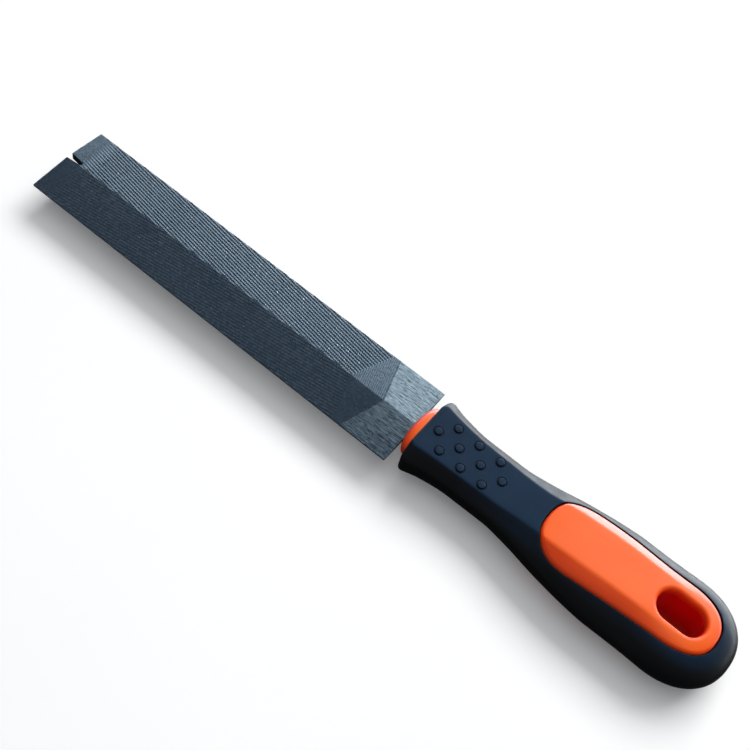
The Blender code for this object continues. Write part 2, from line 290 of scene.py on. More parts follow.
def floor_paint():
    """Matt white sweep; it glows a little, and fully far away, where it runs into the white surround."""
    material = new_material("floor_paint")
    g = Graph(material)
    tone = g.noise(g.coordinates(), 6, 2)
    colour = g.ramp(tone, [(0.3, (0.89, 0.89, 0.89)), (0.7, (0.91, 0.91, 0.91))])
    distance = g.add("ShaderNodeVectorMath", operation="LENGTH")
    g.link(g.coordinates(), distance.inputs[0])
    glow = g.spread(distance.outputs["Value"], 0.5, 1.7, 0.10, 1.0)
    g.finish(
        Base_Color=colour,
        Roughness=1.0,
        Specular_IOR_Level=0.0,
        Emission_Color=(*WHITE, 1),
        Emission_Strength=glow,
    )
    return material


# ---------------------------------------------------------------- mesh helpers

MERGE_DISTANCE = 0.000008
SLIVER_LENGTH = 0.000004


def linked(name, data):
    """A new object in the scene."""
    obj = bpy.data.objects.new(name, data)
    bpy.context.scene.collection.objects.link(obj)
    return obj


def written(solid, mesh):
    """Puts a bmesh into a mesh and frees it."""
    solid.to_mesh(mesh)
    solid.free()
    return mesh


def loft(name, rings):
    """Skins a row of closed rings with equal point counts and caps both ends."""
    count = len(rings[0])
    points = [tuple(point) for ring in rings for point in ring]
    last = len(points) - count
    faces = []
    for start in range(0, last, count):
        for i in range(count):
            j = (i + 1) % count
            faces.append((start + i, start + j, start + count + j, start + count + i))
    faces.append(tuple(range(count)))
    faces.append(tuple(range(last, len(points))))
    mesh = bpy.data.meshes.new(name)
    mesh.from_pydata(points, [], faces)
    solid = bmesh.new()
    solid.from_mesh(mesh)
    bmesh.ops.recalc_face_normals(solid, faces=solid.faces)
    return written(solid, mesh)


def boolean(mesh, operation, other):
    """One exact Boolean, applied; both meshes are in the file's own system."""
    target = linked(mesh.name, mesh)
    tool = linked(other.name, other)
    modifier = target.modifiers.new("cut", "BOOLEAN")
    modifier.operation = operation
    modifier.solver = "EXACT"
    modifier.object = tool
    graph = bpy.context.evaluated_depsgraph_get()
    made = bpy.data.meshes.new_from_object(target.evaluated_get(graph))
    made.name = mesh.name
    bpy.data.objects.remove(target)
    bpy.data.objects.remove(tool)
    return made


def joined(name, meshes):
    solid = bmesh.new()
    for mesh in meshes:
        solid.from_mesh(mesh)
    return written(solid, bpy.data.meshes.new(name))


def place(name, meshes):
    """Joins meshes drawn in the file's own system into one object in the frame."""
    mesh = joined(name, meshes)
    mesh.transform(Matrix.Translation(HEEL))
    return linked(name, mesh)


def smooth(obj, sharp_angle):
    """Merges the slivers that cutting leaves, then shades everything smooth but the sharp edges."""
    solid = bmesh.new()
    solid.from_mesh(obj.data)
    bmesh.ops.remove_doubles(solid, verts=solid.verts, dist=MERGE_DISTANCE)
    bmesh.ops.dissolve_degenerate(solid, edges=solid.edges, dist=SLIVER_LENGTH)
    written(solid, obj.data)
    obj.data.shade_smooth()
    obj.data.set_sharp_from_angle(angle=math.radians(sharp_angle))


# ---------------------------------------------------------------- curves


def smoothstep(t):
    """0 up to t = 0, 1 from t = 1 on, and a soft rise between them; t is a number or an array."""
    t = np.clip(t, 0, 1)
    return t * t * (3 - 2 * t)


def rounding(share, power):
    """Radius share left at this share of the way along a superellipse's end."""
    return max(0.0, 1 - share**power) ** (1 / power)


def eased(positions, values, x):
    """Cubic interpolation that never overshoots: it stays level between two equal neighbours."""
    x = min(max(x, positions[0]), positions[-1])
    spans = [after - before for before, after in zip(positions, positions[1:])]
    slopes = [(after - before) / span for before, after, span in zip(values, values[1:], spans)]
    tangents = [slopes[0]]
    for before, after in zip(slopes, slopes[1:]):
        tangents.append(2 * before * after / (before + after) if before * after > 0 else 0.0)
    tangents.append(0.0)
    i = min(sum(position <= x for position in positions[1:]), len(slopes) - 1)
    t = (x - positions[i]) / spans[i]
    return (
        values[i] * (1 + 2 * t) * (1 - t) ** 2
        + values[i + 1] * t * t * (3 - 2 * t)
        + spans[i] * t * (1 - t) * (tangents[i] * (1 - t) - tangents[i + 1] * t)
    )


def bent(start, corner, end, steps):
    """Points of a curve that leaves start towards corner and reaches end from corner."""
    points = []
    for i in range(steps + 1):
        t = i / steps
        points.append(start.lerp(corner, t).lerp(corner.lerp(end, t), t))
    return points


# ---------------------------------------------------------------- teeth

# Two families of parallel cuts on each face. Angles are from the long axis, towards the long edge.
FACE_WIDTH = math.hypot(HALF_WIDTH, HALF_RIDGE - HALF_EDGE)
UPCUT_ANGLE = math.radians(108)
UPCUT_PITCH = 0.00066
OVERCUT_ANGLE = math.radians(69.8)
OVERCUT_PITCH = 0.000725
CUT_DEPTH = 0.00012
SINGLE_CUT_DEPTH = 0.00006
NOTCH_SHARE = 0.5  # depth between two teeth of a row, as a share of the depth between two rows
CREST_PHASE = 0.64  # the crest lies nearer to one groove, which makes the teeth lean
UPCUT_STOP = (-0.0152, 0.0077)  # a point on the last upcut, along the blade and across its face
OVERCUT_STOP = (-0.0224, 0.0098)
TIP_FADE = (-0.1462, -0.1385)  # the cuts run out between these two places
TIP_CREST = 0.8  # tone of the plain tip, as a tooth's would be

# Hand-made unevenness: shares of a pitch for places, and of the depth for the rest
PLACE_SPREAD = 0.03
ROW_SPREAD = 0.05
TOOTH_SPREAD = 0.06
CHIPPING = 0.05

# The -Y faces have shallower teeth, and their tones are painted evened out, points hardly paler than the
# grooves: painted light, set for how light falls on these faces
LOWER_FACE_DEPTH = 0.55
LOWER_FACE_PAINTED_CONTRAST = 0.3
LOWER_FACE_PAINTED_TONE = 0.82

GRID_MARGIN = 0.002
TRIM_TOLERANCE = 1e-6
CUT, GROUND, DARK = range(3)  # the blade's material slots


def across(angle):
    """Unit direction across a family of cuts, in the plane of a face."""
    return np.array([math.sin(angle), -math.cos(angle)])


# A place on a face times these gives its place among the upcuts and among the overcuts, as numbers of cuts
FAMILIES = np.array([across(UPCUT_ANGLE) / UPCUT_PITCH, across(OVERCUT_ANGLE) / OVERCUT_PITCH])
LAST_UPCUT = FAMILIES[0] @ np.array(UPCUT_STOP)
LAST_OVERCUT = FAMILIES[1] @ np.array(OVERCUT_STOP)


def grid_lines():
    """Numbers of the grid's lines in each family: every groove, and the crest beside it."""
    corners = np.array([(x, s) for x in (-BLADE_LENGTH, 0) for s in (0, FACE_WIDTH)]) @ FAMILIES.T
    low = np.floor(corners.min(0)).astype(int) - 1
    high = np.ceil(corners.max(0)).astype(int) + 1
    groove_and_crest = np.array([0, CREST_PHASE])
    return [(np.arange(low[i], high[i])[:, None] + groove_and_crest).ravel() for i in range(2)]


def face_grid(rng):
    """One toothed face laid flat: points, quads, a crest value for each point, a bare mark for each quad.

    A point is x along the blade, s from the ridge to the edge, and the height h.
    """
    upcuts, overcuts = grid_lines()
    a, b = np.meshgrid(upcuts, overcuts, indexing="ij")
    wobble = rng.normal(0, PLACE_SPREAD, (2, *a.shape))
    plane = np.linalg.inv(FAMILIES) @ np.stack([(a + wobble[0]).ravel(), (b + wobble[1]).ravel()])
    x, s = plane.reshape(2, *a.shape)

    fade = smoothstep((x - TIP_FADE[0]) / (TIP_FADE[1] - TIP_FADE[0]))
    up_crest = (np.arange(len(upcuts)) % 2 == 1)[:, None]
    over_crest = (np.arange(len(overcuts)) % 2 == 1)[None, :]
    lower = np.where(~up_crest & ~over_crest, NOTCH_SHARE, 1.0)
    double = np.where(up_crest & over_crest, 0, lower) * CUT_DEPTH
    single = np.where(up_crest, 0, SINGLE_CUT_DEPTH)
    is_cut = a < LAST_UPCUT
    depth = np.where(b < LAST_OVERCUT, double, single) * is_cut
    uneven_rows = rng.normal(1, ROW_SPREAD, len(upcuts))[:, None] * rng.normal(1, ROW_SPREAD, len(overcuts))
    depth = depth * uneven_rows * np.abs(rng.normal(1, TOOTH_SPREAD, a.shape)) * fade
    chipping = np.abs(rng.normal(0, CHIPPING, a.shape)) * CUT_DEPTH * fade * is_cut
    h = -depth - chipping
    # crest, 0 deep in a cut and 1 on a point, sets the painted groove shade and point highlight of
    # cut_steel
    crest = np.clip(1 + h / CUT_DEPTH, 0, 1) * fade + TIP_CREST * (1 - fade)

    near_x = (x > -BLADE_LENGTH - GRID_MARGIN) & (x < GRID_MARGIN)
    near = near_x & (s > -GRID_MARGIN) & (s < FACE_WIDTH + GRID_MARGIN)
    keep = near[:-1, :-1] & near[1:, :-1] & near[:-1, 1:] & near[1:, 1:]
    index = np.arange(a.size).reshape(a.shape)
    quads = np.stack([index[:-1, :-1], index[1:, :-1], index[1:, 1:], index[:-1, 1:]], -1)[keep]
    bare = ~(is_cut[:-1, :-1] | is_cut[1:, 1:])[keep]
    used, renumbered = np.unique(quads, return_inverse=True)
    points = np.stack([x.ravel(), s.ravel(), h.ravel()], 1)[used]
    return points, renumbered.reshape(quads.shape), crest.ravel()[used], bare


def open_face(points, quads, crest, bare):
    """The flat face as a bmesh, with its crest values and materials."""
    face_mesh = bmesh.new()
    layer = face_mesh.verts.layers.float.new("crest")
    verts = [face_mesh.verts.new(point) for point in points]
    for vert, value in zip(verts, crest):
        vert[layer] = value
    for quad, is_bare in zip(quads, bare):
        face = face_mesh.faces.new([verts[i] for i in quad])
        face.material_index = GROUND if is_bare else CUT
    return face_mesh


def trim(face_mesh):
    """Cuts the flat face to the blade's length and the face's width."""
    sides = (
        ((-BLADE_LENGTH, 0, 0), (-1, 0, 0)),
        ((0, 0, 0), (1, 0, 0)),
        ((0, 0, 0), (0, -1, 0)),
        ((0, FACE_WIDTH, 0), (0, 1, 0)),
    )
    for place_on_side, outwards in sides:
        bmesh.ops.bisect_plane(
            face_mesh,
            geom=face_mesh.verts[:] + face_mesh.edges[:] + face_mesh.faces[:],
            dist=TRIM_TOLERANCE,
            plane_co=place_on_side,
            plane_no=outwards,
            clear_outer=True,
        )


def slope_down(face_mesh, side, top):
    """Lays the flat face onto one of the blade's four slopes."""
    slope = math.atan2(HALF_RIDGE - HALF_EDGE, HALF_WIDTH)
    for vert in face_mesh.verts:
        x, s, h = vert.co
        y = s * math.cos(slope) + h * math.sin(slope)
        z = HALF_RIDGE - s * math.sin(slope) + h * math.cos(slope)
        vert.co = (x, side * min(y, HALF_WIDTH), top * z)


def close_below(face_mesh):
    """Adds walls from the face's rim to the middle plane, and a bottom there."""
    rim = [edge for edge in face_mesh.edges if edge.is_boundary]
    for item in bmesh.ops.extrude_edge_only(face_mesh, edges=rim)["geom"]:
        if isinstance(item, bmesh.types.BMVert):
            item.co.z = 0
        if isinstance(item, bmesh.types.BMFace):
            item.material_index = DARK
    bottom = [edge for edge in face_mesh.edges if edge.is_boundary]
    for face in bmesh.ops.contextual_create(face_mesh, geom=bottom)["faces"]:
        face.material_index = DARK
    bmesh.ops.recalc_face_normals(face_mesh, faces=face_mesh.faces)


def blade_quarter(side, top, rng):
    """One quarter of the blade as a closed solid, from its toothed face to the middle plane."""
    points, quads, crest, bare = face_grid(rng)
    if side < 0:
        # Painted light: the -Y faces get an evened-out copy of the teeth's tones
        crest = LOWER_FACE_PAINTED_TONE + (crest - LOWER_FACE_PAINTED_TONE) * LOWER_FACE_PAINTED_CONTRAST
        points[:, 2] *= LOWER_FACE_DEPTH
    face_mesh = open_face(points, quads, crest, bare)
    trim(face_mesh)
    slope_down(face_mesh, side, top)
    close_below(face_mesh)
    return written(face_mesh, bpy.data.meshes.new("blade_quarter"))


# ---------------------------------------------------------------- blade

# Slot in the tip
NOTCH_DEPTH = 0.0058
NOTCH_MOUTH = 0.0024
NOTCH_END = 0.0014
NOTCH_OFFSET = 0.0009
NOTCH_FLARE = 0.0001  # how much wider the cutter is on each side, where it ends in front of the tip
NOTCH_OVERRUN = 0.001
NOTCH_REACH = 0.004
NOTCH_STEPS = 12
NOTCH_TOLERANCE = 0.0002
STEEP_NORMAL = 0.5

# Tang, hidden in the handle
TANG_START = -0.0001
TANG_LENGTH = 0.050
TANG_ROOT = 0.0105
TANG_END = 0.0048
TANG_HALF_HEIGHT = HALF_RIDGE * 0.8
TANG_HEIGHT_LOSS = 0.25
TANG_STATIONS = (0.0, 0.02, 0.5, 0.97, 1.0)  # shares of the length
TANG_TIP_SHARE = 0.8  # width left at the blunt tip
TANG_FLAT_SHARE = 0.8  # width of the flats above and below


def notch_tool():
    """Cutter of the tip's slot: a mouth that narrows to a round bottom."""
    radius = NOTCH_END / 2
    centre = -BLADE_LENGTH + NOTCH_DEPTH - radius
    front = -BLADE_LENGTH - NOTCH_OVERRUN
    outline = [(front, NOTCH_OFFSET + NOTCH_MOUTH / 2 + NOTCH_FLARE)]
    for i in range(NOTCH_STEPS + 1):
        angle = math.pi / 2 - math.pi * i / NOTCH_STEPS
        outline.append((centre + radius * math.cos(angle), NOTCH_OFFSET + radius * math.sin(angle)))
    outline.append((front, NOTCH_OFFSET - NOTCH_MOUTH / 2 - NOTCH_FLARE))
    return loft("notch", [[(x, y, z) for x, y in outline] for z in (-NOTCH_REACH, NOTCH_REACH)])


def tang():
    """Tapered six-sided rod with a blunt tip."""
    rings = []
    for share in TANG_STATIONS:
        blunting = TANG_TIP_SHARE if share == 1.0 else 1
        half = (TANG_ROOT + (TANG_END - TANG_ROOT) * share) / 2 * blunting
        flat = half * TANG_FLAT_SHARE
        height = TANG_HALF_HEIGHT * (1 - TANG_HEIGHT_LOSS * share)
        x = TANG_LENGTH * share + TANG_START
        upper = [(x, half, 0), (x, flat, height), (x, -flat, height)]
        lower = [(x, -half, 0), (x, -flat, -height), (x, flat, -height)]
        rings.append(upper + lower)
    return loft("tang", rings)


def darken_notch(blade):
    """Gives the notch's walls the blackened steel; the Boolean gives them the teeth's."""
    notch_stop = HEEL.x - BLADE_LENGTH + NOTCH_DEPTH + NOTCH_TOLERANCE
    for face in blade.data.polygons:
        off_axis = face.center.y - HEEL.y - NOTCH_OFFSET
        in_notch = face.center.x < notch_stop and abs(off_axis) < NOTCH_MOUTH
        if in_notch and abs(face.normal.z) < STEEP_NORMAL:
            face.material_index = DARK


def make_blade():
    rng = np.random.default_rng(SEED)
    notch = notch_tool()
    solids = []
    for side in (1, -1):
        for top in (1, -1):
            solids.append(boolean(blade_quarter(side, top, rng), "DIFFERENCE", notch.copy()))
    rod = tang()
    for face in rod.polygons:
        face.material_index = DARK
    blade = place("file_blade_cut", solids + [rod])
    for material in (cut_steel(), ground_steel(), edge_steel()):
        blade.data.materials.append(material)
    darken_notch(blade)
    return blade


# ---------------------------------------------------------------- handle shape

GRIP_START = 0.0033
BUTT_START = 0.094
BUTT_END = 0.1152
BUTT_POWER = 2.3
# Position, half width, half thickness, half width of the flat, corner height share, corner rounding
HANDLE_SECTIONS = (
    (0.0033, 0.0140, 0.0077, 0.0090, 0.43, 0.25),
    (0.0110, 0.0119, 0.0068, 0.0080, 0.43, 0.25),
    (0.0210, 0.0108, 0.0061, 0.0073, 0.43, 0.25),
    (0.0340, 0.0108, 0.0060, 0.0069, 0.43, 0.30),
    (0.0440, 0.0120, 0.0067, 0.0065, 0.42, 0.40),
    (0.0560, 0.0143, 0.0087, 0.0071, 0.40, 0.60),
    (0.0700, 0.0163, 0.0101, 0.0072, 0.40, 0.80),
    (0.0755, 0.0167, 0.0104, 0.0071, 0.40, 0.85),
    (0.0940, 0.0166, 0.0104, 0.0067, 0.40, 0.90),
)
HALF_THICKNESS = max(section[2] for section in HANDLE_SECTIONS)
FRONT_ROUND_LENGTH = 0.0023
FRONT_ROUND_WIDTH = 0.0028
FRONT_ROUND_HEIGHT = 0.0011
FRONT_FLAT_SHARE = 0.6  # how much of the front edge's rounding in width the flat takes
OVAL_POWER = 2.3
CREASE_FADE = (0.080, 0.104)  # between these places the two long creases melt into a rounded back
CREASE_START_SHARE = 0.09  # where the crease's rounding begins on the shoulder, and ends on the flat
CREASE_END_SHARE = 0.9
CORNER_STEPS = 9
CREASE_STEPS = 4
FLAT_STEPS = 4
FRONT_STATIONS = 8
BODY_STATIONS = 84
BUTT_STATIONS = 30
BUTT_OPENING = 0.3  # stops the last ring short of a point

WINDOW_START = 0.0487
WINDOW_SHOULDER = 0.063
WINDOW_NECK = 0.093
WINDOW_END = 0.108
WINDOW_HALF_WIDTH = 0.0117
WINDOW_NECK_HALF_WIDTH = 0.0106
WINDOW_POWER = 2.4
WINDOW_END_STEPS = 22
WINDOW_MIDDLE_STEPS = 16
SEAM = 0.00012  # gap between each of inlay and grip and the window's outline
INLAY_EDGE = 0.0011
GRIP_EDGE = 0.00025

HOLE_START = 0.0923
HOLE_STOP = 0.0984
HOLE_RADIUS = 0.0049
HOLE_STEPS = 24
LIP_RADIUS = 0.0014
LIP_RADIUS_BELOW = 0.0006

OUTWARDS, INWARDS = 1, -1
RIM_STEPS = 6
RIM_RUN = 0.0012  # how far a tool goes on above the surface before it turns straight up
OVERSHOOT = 0.002
WALL_STEPS = 8


def handle_size(x):
    """Half width, half thickness, half width of the flat, height and rounding of the corner at x."""
    positions, *measures = zip(*HANDLE_SECTIONS)
    width, thickness, flat, corner_share, corner_rounding = (
        eased(positions, values, x) for values in measures
    )
    end = rounding(max(0.0, x - BUTT_START) / (BUTT_END - BUTT_START), BUTT_POWER)
    return width * end, thickness * end, flat * end, thickness * corner_share * end, corner_rounding


def on_oval(point, width, thickness):
    """The point of the section's oval in the same direction from the middle."""
    angle = math.atan2(point.y / thickness, point.x / width)
    exponent = 2 / OVAL_POWER
    return Vector((width * abs(math.cos(angle)) ** exponent, thickness * math.sin(angle) ** exponent))


def quarter_section(x, share=0.0):
    """Points (y, z) of the section's upper +Y quarter, from the side to the middle of the flat.

    share is how far the section has shrunk into the rounding of the front edge.
    """
    width, thickness, flat, corner_height, corner_rounding = handle_size(x)
    width -= FRONT_ROUND_WIDTH * share
    thickness -= FRONT_ROUND_HEIGHT * share
    flat -= FRONT_ROUND_WIDTH * FRONT_FLAT_SHARE * share
    side = Vector((width, 0))
    corner = Vector((width, corner_height))
    flat_edge = Vector((flat, thickness))
    on_side = corner.lerp(side, corner_rounding)
    on_shoulder = corner.lerp(flat_edge, corner_rounding)
    crease_start = flat_edge.lerp(corner, min(0.5 * (1 - corner_rounding), CREASE_START_SHARE))
    crease_end = Vector((flat_edge.x * CREASE_END_SHARE, flat_edge.y))
    points = [side] + bent(on_side, corner, on_shoulder, CORNER_STEPS)
    points.append(on_shoulder.lerp(crease_start, 0.5))
    points += bent(crease_start, flat_edge, crease_end, CREASE_STEPS)
    for i in range(1, FLAT_STEPS + 1):
        points.append(Vector((crease_end.x * (1 - i / FLAT_STEPS), crease_end.y)))
    fade = smoothstep((x - CREASE_FADE[0]) / (CREASE_FADE[1] - CREASE_FADE[0]))
    if fade == 0:
        return points
    return [point.lerp(on_oval(point, width, thickness), fade) for point in points]


def handle_ring(x, share=0.0):
    quarter = quarter_section(x, share)
    upper = [(p.x, p.y) for p in quarter] + [(-p.x, p.y) for p in reversed(quarter[:-1])]
    lower = [(-y, -z) for y, z in upper[1:-1]]
    return [(x, y, z) for y, z in upper + lower]


def handle_solid(name):
    """The handle's whole outer shape, without the nose."""
    rings = []
    for i in range(FRONT_STATIONS):
        angle = math.pi / 2 * i / FRONT_STATIONS
        x = GRIP_START + FRONT_ROUND_LENGTH * (1 - math.cos(angle))
        rings.append(handle_ring(x, 1 - math.sin(angle)))
    start = GRIP_START + FRONT_ROUND_LENGTH
    for i in range(BODY_STATIONS + 1):
        rings.append(handle_ring(start + (BUTT_START - start) * i / BODY_STATIONS))
    for i in range(1, BUTT_STATIONS + 1):
        turn = math.sin(math.pi / 2 * i / (BUTT_STATIONS + BUTT_OPENING))
        rings.append(handle_ring(BUTT_START + (BUTT_END - BUTT_START) * turn))
    return loft(name, rings)


def surface_height(x, y):
    """Height of the handle's upper surface above the long axis."""
    if x >= BUTT_END:
        return 0.0
    points = quarter_section(max(x, GRIP_START))
    ys = [p.x for p in reversed(points)]
    zs = [p.y for p in reversed(points)]
    return float(np.interp(abs(y), ys, zs))


def window_half_width(x):
    if x < WINDOW_SHOULDER:
        share = (WINDOW_SHOULDER - x) / (WINDOW_SHOULDER - WINDOW_START)
        return WINDOW_HALF_WIDTH * rounding(share, WINDOW_POWER)
    if x > WINDOW_NECK:
        share = (x - WINDOW_NECK) / (WINDOW_END - WINDOW_NECK)
        return WINDOW_NECK_HALF_WIDTH * rounding(share, WINDOW_POWER)
    narrowing = smoothstep((x - WINDOW_SHOULDER) / (WINDOW_NECK - WINDOW_SHOULDER))
    return WINDOW_HALF_WIDTH + (WINDOW_NECK_HALF_WIDTH - WINDOW_HALF_WIDTH) * narrowing


def window_loop():
    """Outline of the windows, seen from above and counter-clockwise."""
    turns = [math.sin(math.pi / 2 * i / WINDOW_END_STEPS) for i in range(WINDOW_END_STEPS)]
    middle_shares = [i / WINDOW_MIDDLE_STEPS for i in range(1, WINDOW_MIDDLE_STEPS)]
    xs = [WINDOW_SHOULDER - (WINDOW_SHOULDER - WINDOW_START) * turn for turn in reversed(turns)]
    xs += [WINDOW_SHOULDER + (WINDOW_NECK - WINDOW_SHOULDER) * share for share in middle_shares]
    xs += [WINDOW_NECK + (WINDOW_END - WINDOW_NECK) * turn for turn in turns]
    lower = [Vector((x, -window_half_width(x))) for x in xs]
    upper = [Vector((p.x, -p.y)) for p in reversed(lower)]
    return [Vector((WINDOW_START, 0))] + lower + [Vector((WINDOW_END, 0))] + upper


def hole_loop():
    """Outline of the hanging hole: two half circles, counter-clockwise."""
    loop = []
    for centre, start in ((HOLE_STOP, -math.pi / 2), (HOLE_START, math.pi / 2)):
        for i in range(HOLE_STEPS + 1):
            angle = start + math.pi * i / HOLE_STEPS
            loop.append(Vector((centre + HOLE_RADIUS * math.cos(angle), HOLE_RADIUS * math.sin(angle))))
    return loop


def offset_loop(loop, grow):
    """A closed counter-clockwise outline moved outwards along its normals."""
    moved = []
    for i, point in enumerate(loop):
        along = (loop[(i + 1) % len(loop)] - loop[i - 1]).normalized()
        moved.append(point + Vector((along.y, -along.x)) * grow)
    return moved


def tool_side(loop, grow, radius, turn, last_angle):
    """Rings of the upper half of a through tool, from the wall out to above the surface."""
    profile = []
    for i in range(RIM_STEPS + 1):
        angle = math.radians(last_angle) * i / RIM_STEPS
        profile.append((grow + turn * radius * (1 - math.cos(angle)), -radius * (1 - math.sin(angle))))
    last_offset, last_height = profile[-1]
    slope = math.tan(math.radians(90 - last_angle))
    profile.append((last_offset + turn * RIM_RUN, last_height + RIM_RUN * slope))
    rings = []
    for offset, rise in profile:
        moved = offset_loop(loop, offset)
        rings.append([(p.x, p.y, surface_height(p.x, p.y) + rise) for p in moved])
    rings.append([(x, y, HALF_THICKNESS + OVERSHOOT) for x, y, z in rings[-1]])
    return rings


def through_tool(name, loop, grow, radius, turn, last_angle, radius_below=None):
    """A plug through the handle whose rims follow the handle's surface in a quarter round.

    The round turns outwards, as the lip of a hole, or inwards, as the edge of an inlay, and stops
    at last_angle, in degrees. grow is how far the plug's wall lies outside the loop.
    """
    upper = tool_side(loop, grow, radius, turn, last_angle)
    lower = tool_side(loop, grow, radius_below or radius, turn, last_angle)
    below = [[(x, y, -z) for x, y, z in ring] for ring in reversed(lower)]
    middle = []
    for i in range(1, WALL_STEPS):
        share = i / WALL_STEPS
        middle.append([Vector(a).lerp(Vector(b), share) for a, b in zip(below[-1], upper[0])])
    return loft(name, below + middle + upper)


# ---------------------------------------------------------------- buttons

BUTTON_RADIUS = 0.00132
BUTTON_RISE = 0.00038
BUTTON_EDGE = 0.00032
BUTTON_CROWN = 0.00006
BUTTON_FOOT = 2.2  # depth of a button's foot below the surface, in depths of its dish
BUTTON_STEPS = 6
BUTTON_SIDES = 28
BUTTON_CENTRE = 0.0001
GROOVE_RADIUS = 0.00158
GROOVE_DEPTH = 0.00022
GROOVE_CENTRE = 0.0004
AXIS_BUTTONS = 4
ROW_BUTTONS = 3  # in each of the two rows beside the axis
FIRST_BUTTON = 0.0077
BUTTON_PITCH = 0.0081
BUTTON_ROW_OFFSET = 0.005
TILT_SPAN = 0.001  # the surface's tilt under a button is taken over this distance to each side


def turned(name, x, y, side, profile):
    """A small turned solid standing on the grip's surface: profile is (radius, height) from foot to top."""
    base = surface_height(x, y)
    tilt = (surface_height(x + TILT_SPAN, y) - surface_height(x - TILT_SPAN, y)) / (2 * TILT_SPAN)
    rings = []
    for reach, rise in profile:
        ring = []
        for i in range(BUTTON_SIDES):
            angle = 2 * math.pi * i / BUTTON_SIDES
            u = reach * math.cos(angle)
            v = reach * math.sin(angle)
            ring.append((x + u, y + v, side * (base + tilt * u + rise)))
        rings.append(ring)
    return loft(name, rings)


def button(x, y, side):
    """A low disc with a rounded edge and a slight crown."""
    profile = [(BUTTON_RADIUS, -BUTTON_FOOT * GROOVE_DEPTH)]
    for i in range(BUTTON_STEPS + 1):
        angle = math.pi / 2 * i / BUTTON_STEPS
        reach = BUTTON_RADIUS - BUTTON_EDGE * (1 - math.cos(angle))
        profile.append((reach, BUTTON_RISE - BUTTON_EDGE * (1 - math.sin(angle))))
    profile.append((BUTTON_RADIUS * 0.4, BUTTON_RISE + BUTTON_CROWN * 0.8))
    profile.append((BUTTON_CENTRE, BUTTON_RISE + BUTTON_CROWN))
    return turned("button", x, y, side, profile)


def groove(x, y, side):
    """Cutter of the shallow dish that a button sits in."""
    profile = [
        (GROOVE_CENTRE, -GROOVE_DEPTH),
        (GROOVE_RADIUS * 0.9, -GROOVE_DEPTH),
        (GROOVE_RADIUS, -GROOVE_DEPTH * 0.6),
        (GROOVE_RADIUS * 1.1, 0.0),
        (GROOVE_RADIUS * 1.4, GROOVE_DEPTH * 1.6),
        (GROOVE_CENTRE, GROOVE_DEPTH * 1.6),
    ]
    return turned("groove", x, y, side, profile)


def button_places():
    """Position, offset from the axis, and side (1 above, -1 below) of every button."""
    places = [(FIRST_BUTTON + BUTTON_PITCH * i, 0.0) for i in range(AXIS_BUTTONS)]
    for y in (BUTTON_ROW_OFFSET, -BUTTON_ROW_OFFSET):
        places += [(FIRST_BUTTON + BUTTON_PITCH * (i + 0.5), y) for i in range(ROW_BUTTONS)]
    return [(x, y, side) for x, y in places for side in (1, -1)]


# ---------------------------------------------------------------- handle pieces

NOSE_TIP = -0.0005
NOSE_HALF_WIDTH = 0.0096
NOSE_HALF_THICKNESS = 0.0054
NOSE_POWER = 2.5
NOSE_SECTION_POWER = 2.3
NOSE_SIDES = 96
NOSE_STATIONS = 14
NOSE_OPENING = 0.3  # stops the first ring short of a point
NOSE_ROOT = 0.0018  # how far the nose runs into the grip
NOSE_GAP = 0.0002  # between the nose and the grip's mouth
MOUTH_OVERRUN = 0.001
MOUTH_DEPTH = 0.002
BLADE_GAP = 0.00012
BLADE_ROOM_FRONT = -0.01

# The hole's wall is painted dark red between these depths, as painted shade of the deep hole; a point this
# near its outline is on the wall
HOLE_SHADE_START = 0.0011
HOLE_SHADE_SPAN = 0.0028
HOLE_TOLERANCE = 0.0004


def nose_ring(x, grow=0.0):
    """Superelliptic section of the nose at x."""
    share = min(max((GRIP_START - x) / (GRIP_START - NOSE_TIP), 0.0), 1.0)
    left = rounding(share, NOSE_POWER)
    width = NOSE_HALF_WIDTH * left + grow
    thickness = NOSE_HALF_THICKNESS * left + grow
    exponent = 2 / NOSE_SECTION_POWER
    ring = []
    for i in range(NOSE_SIDES):
        angle = 2 * math.pi * i / NOSE_SIDES
        y = math.copysign(abs(math.cos(angle)) ** exponent, math.cos(angle)) * width
        z = math.copysign(abs(math.sin(angle)) ** exponent, math.sin(angle)) * thickness
        ring.append((x, y, z))
    return ring


def blade_room():
    """Slot that the blade leaves in the nose."""
    y = HALF_WIDTH + BLADE_GAP
    edge = HALF_EDGE + BLADE_GAP
    ridge = HALF_RIDGE + BLADE_GAP
    outline = [(y, edge), (0, ridge), (-y, edge), (-y, -edge), (0, -ridge), (y, -edge)]
    return loft("blade_room", [[(x, u, v) for u, v in outline] for x in (BLADE_ROOM_FRONT, BLADE_GAP)])


def make_grip():
    shell = handle_solid("grip_shell")
    window = through_tool(
        "window_room", window_loop(), grow=SEAM, radius=GRIP_EDGE, turn=OUTWARDS, last_angle=75
    )
    shell = boolean(shell, "DIFFERENCE", window)
    mouth = (GRIP_START - MOUTH_OVERRUN, GRIP_START + MOUTH_DEPTH)
    shell = boolean(shell, "DIFFERENCE", loft("nose_room", [nose_ring(x, NOSE_GAP) for x in mouth]))
    grooves = [groove(*place_at) for place_at in button_places()]
    shell = boolean(shell, "DIFFERENCE", joined("grooves", grooves))
    buttons = [button(*place_at) for place_at in button_places()]
    grip = place("grip_overmould_soft", [shell] + buttons)
    grip.data.materials.append(black_rubber())
    smooth(grip, sharp_angle=32)
    return grip


